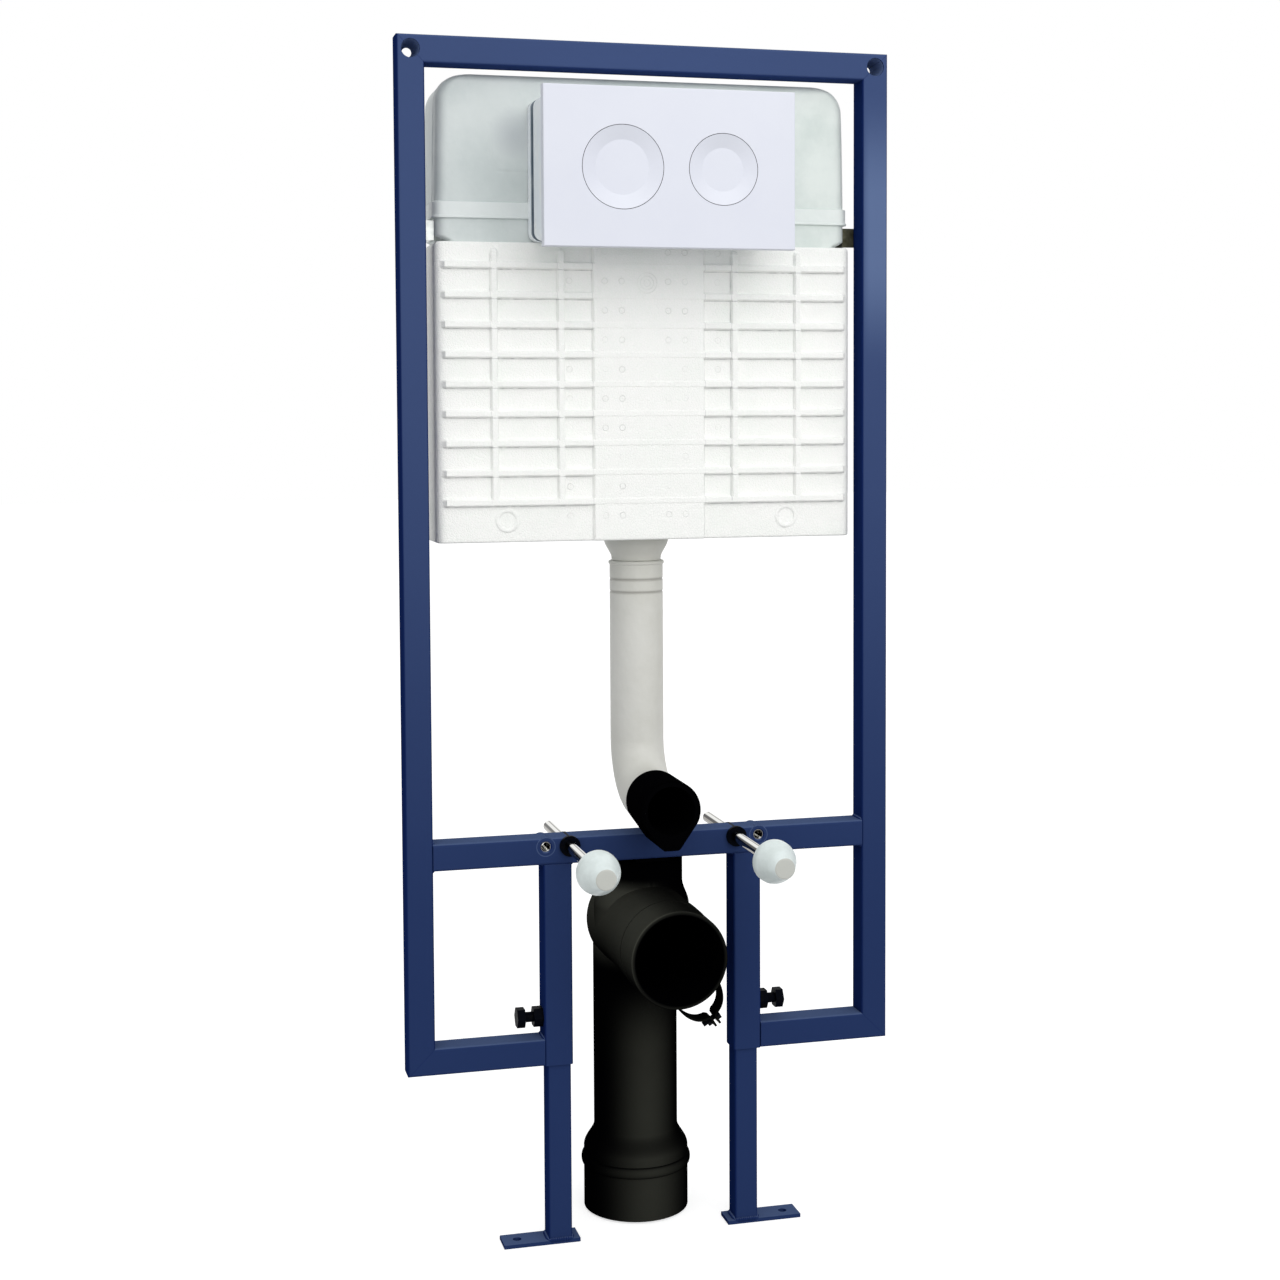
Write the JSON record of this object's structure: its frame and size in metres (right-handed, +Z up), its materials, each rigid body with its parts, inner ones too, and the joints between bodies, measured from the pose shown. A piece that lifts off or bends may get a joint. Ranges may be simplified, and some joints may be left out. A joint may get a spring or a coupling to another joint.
{
  "type": "wall hung toilet frame",
  "caption": "Welded tube frame on telescopic legs that carries a slim concealed cistern, round-button flush plate, flush pipe, pan studs and waste bend for a wall hung toilet.",
  "frame": {"origin": "middle of the top rail's rear face, which faces the wall", "axes": "+Z up, +Y from the frame to the wall behind it, +X to the right seen from the room"},
  "size_m": [0.52, 0.306, 1.244],
  "materials": {
    "blue_frame_paint": "semi-gloss powder coat",
    "black_steel": "black oxide",
    "stud_chrome": "bright plated",
    "zinc_steel": "zinc plated",
    "cap_plastic": "moulded",
    "tank_plastic": "blow moulded, translucent",
    "foam_cover": "expanded polystyrene",
    "plate_plastic": "satin moulded",
    "adaptor_plastic": "moulded",
    "pipe_plastic": "extruded",
    "black_rubber": "moulded rubber",
    "waste_plastic": "polyethylene"
  },
  "bodies": {
    "frame": {"left_post": "blue_frame_paint", "right_post": "blue_frame_paint", "top_rail": "blue_frame_paint", "left_bottom_rail": "blue_frame_paint", "right_bottom_rail": "blue_frame_paint", "crossbar": "blue_frame_paint", "left_leg_sleeve": "blue_frame_paint", "right_leg_sleeve": "blue_frame_paint", "left_clamp_nut": "black_steel", "right_clamp_nut": "black_steel", "left_clamp_bolt": "black_steel", "right_clamp_bolt": "black_steel", "left_stud": "stud_chrome", "right_stud": "stud_chrome", "left_stud_bush": "black_steel", "right_stud_bush": "black_steel", "left_stud_cap": "cap_plastic", "right_stud_cap": "cap_plastic", "left_spare_bush": "zinc_steel", "right_spare_bush": "zinc_steel", "cistern_tank": "tank_plastic", "left_tank_angle": "zinc_steel", "right_tank_angle": "zinc_steel", "insulation_cover": "foam_cover", "flush_plate": "plate_plastic", "plate_adaptor": "adaptor_plastic", "tank_outlet": "pipe_plastic", "flush_pipe": "pipe_plastic", "flush_sleeve": "black_rubber", "waste_bend": "waste_plastic", "waste_socket": "waste_plastic", "bend_strap": "black_steel", "bend_strap_bolt": "black_steel", "bend_hanger": "zinc_steel", "bend_hanger_bolt": "zinc_steel"},
    "left_leg": {"left_leg_tube": "blue_frame_paint", "left_foot_plate": "blue_frame_paint"},
    "right_leg": {"right_leg_tube": "blue_frame_paint", "right_foot_plate": "blue_frame_paint"},
    "large_button": {"large_button": "plate_plastic"},
    "small_button": {"small_button": "plate_plastic"}
  },
  "joints": [
    {"name": "left_leg_slide", "type": "slide", "parent": "frame", "child": "left_leg", "axis": [0, 0, 1], "range_m": [-0.03, 0.11]},
    {"name": "right_leg_slide", "type": "slide", "parent": "frame", "child": "right_leg", "axis": [0, 0, 1], "range_m": [-0.03, 0.11]},
    {"name": "large_button_press", "type": "slide", "parent": "frame", "child": "large_button", "axis": [0, 1, 0], "range_m": [0, 0.006], "stiffness_N_per_m": 600, "springref_m": -0.002},
    {"name": "small_button_press", "type": "slide", "parent": "frame", "child": "small_button", "axis": [0, 1, 0], "range_m": [0, 0.006], "stiffness_N_per_m": 600, "springref_m": -0.002}
  ]
}
